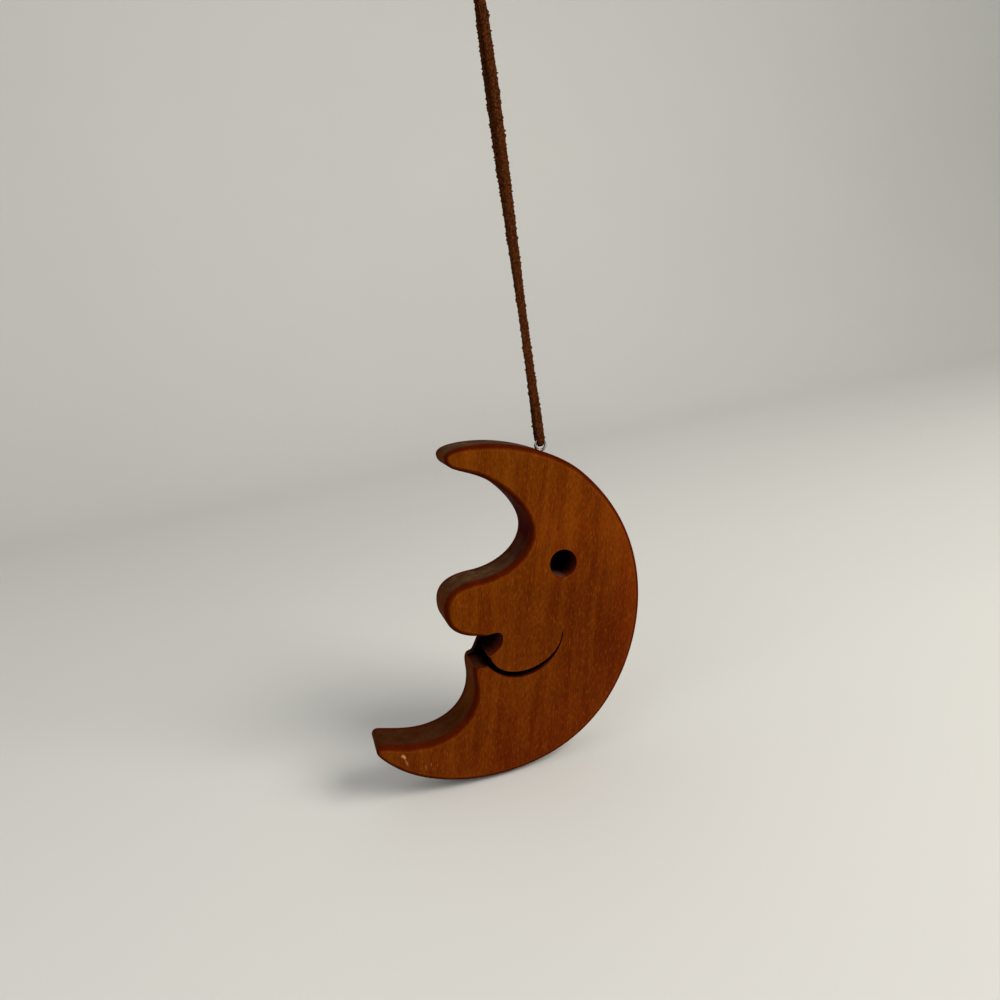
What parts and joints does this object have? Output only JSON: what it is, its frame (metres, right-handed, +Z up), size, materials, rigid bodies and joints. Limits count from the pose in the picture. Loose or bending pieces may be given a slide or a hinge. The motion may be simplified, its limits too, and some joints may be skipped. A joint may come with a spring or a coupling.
{
  "type": "wooden moon wall hanging",
  "caption": "Stained wooden crescent moon with a smiling face in profile, a drilled eye and a carved mouth, hung by a looped suede lace from a screw eye in its top edge.",
  "frame": {"origin": "the nail's place just under the knot, between the two strands of the lace, in the board's middle plane", "axes": "+Z up along the lace, +Y through the board to its back, which lies on the wall, +X to the viewer's right"},
  "size_m": [0.1228, 0.019, 0.34],
  "materials": {
    "stained_wood": "red-brown stain under satin varnish",
    "plated_wire": "bright zinc plate",
    "suede": "matt suede"
  },
  "bodies": {
    "root": {"moon": "stained_wood", "screw_eye": "plated_wire", "leather_lace": "suede", "lace_knot": "suede"}
  },
  "joints": []
}
